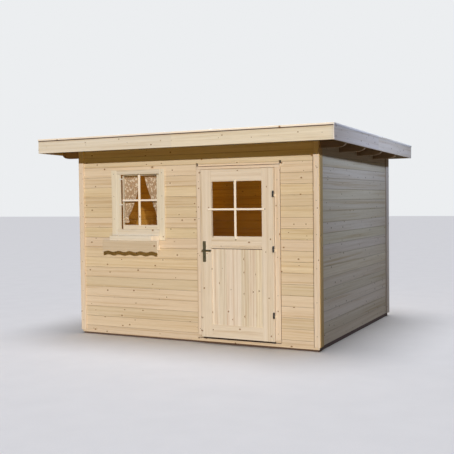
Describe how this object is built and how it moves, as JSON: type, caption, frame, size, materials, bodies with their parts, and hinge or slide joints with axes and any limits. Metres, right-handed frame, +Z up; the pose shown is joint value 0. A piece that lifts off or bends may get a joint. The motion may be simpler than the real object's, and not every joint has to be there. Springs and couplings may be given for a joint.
{
  "type": "wooden garden shed",
  "caption": "Board-walled garden shed with a flat roof on purlins, a half-glazed hinged door with a lever handle, a curtained window and a flower box.",
  "frame": {"origin": "on the ground under the middle of the roof", "axes": "+Z up, -Y out of the front with the door and window, +X to the right seen from the front"},
  "size_m": [3.74, 3.296, 2.3907],
  "materials": {
    "wall_wood": "planed spruce boards, untreated",
    "trim_wood": "planed spruce trim, untreated",
    "inner_wood": "planed spruce, warm and darker inside",
    "treated_wood": "pressure-treated timber, red brown",
    "roof_felt": "mineral-faced bitumen felt",
    "pane_glass": "clear float glass",
    "black_metal": "black lacquered steel",
    "curtain_cloth": "thin off-white lace cloth",
    "door_wood": "planed spruce, untreated"
  },
  "bodies": {
    "shed": {"front_wall_left": "wall_wood", "front_wall_right": "wall_wood", "front_wall_over_door": "wall_wood", "front_wall_under_door": "wall_wood", "left_wall": "wall_wood", "right_wall": "wall_wood", "back_wall": "wall_wood", "fascia_front": "wall_wood", "fascia_back": "wall_wood", "fascia_left": "wall_wood", "fascia_right": "wall_wood", "corner_trim_front_left": "trim_wood", "corner_trim_front_right": "trim_wood", "corner_trim_back_left": "trim_wood", "corner_trim_back_right": "trim_wood", "door_frame_left": "trim_wood", "door_frame_right": "trim_wood", "door_frame_head": "trim_wood", "door_threshold": "trim_wood", "window_casing": "trim_wood", "window_sash": "trim_wood", "flower_box_tray": "trim_wood", "flower_box_front": "trim_wood", "roof_cap_front": "trim_wood", "roof_cap_back": "trim_wood", "roof_cap_left": "trim_wood", "roof_cap_right": "trim_wood", "floor_boards": "inner_wood", "purlin_1": "inner_wood", "purlin_2": "inner_wood", "purlin_3": "inner_wood", "purlin_4": "inner_wood", "roof_deck": "inner_wood", "base_beams": "treated_wood", "base_joists": "treated_wood", "roof_felt": "roof_felt", "window_glass": "pane_glass", "curtain_rod": "black_metal", "hinge_brackets": "black_metal", "curtain_left": "curtain_cloth", "curtain_right": "curtain_cloth"},
    "door": {"door_stiles": "door_wood", "door_rails": "door_wood", "door_panel": "door_wood", "door_glass": "pane_glass", "door_knuckles": "black_metal", "door_handle_plates": "black_metal"},
    "handle": {"door_lever": "black_metal"}
  },
  "joints": [
    {"name": "door_swing", "type": "hinge", "parent": "shed", "child": "door", "pos_m": [1.0555, -1.294, 1], "axis": [0, 0, 1], "range_deg": [0, 150]},
    {"name": "lever_turn", "type": "hinge", "parent": "door", "child": "handle", "pos_m": [0.198, -1.26, 1.067], "axis": [0, 1, 0], "range_deg": [0, 35], "stiffness_Nm_per_rad": 2, "springref_deg": -17.19}
  ]
}
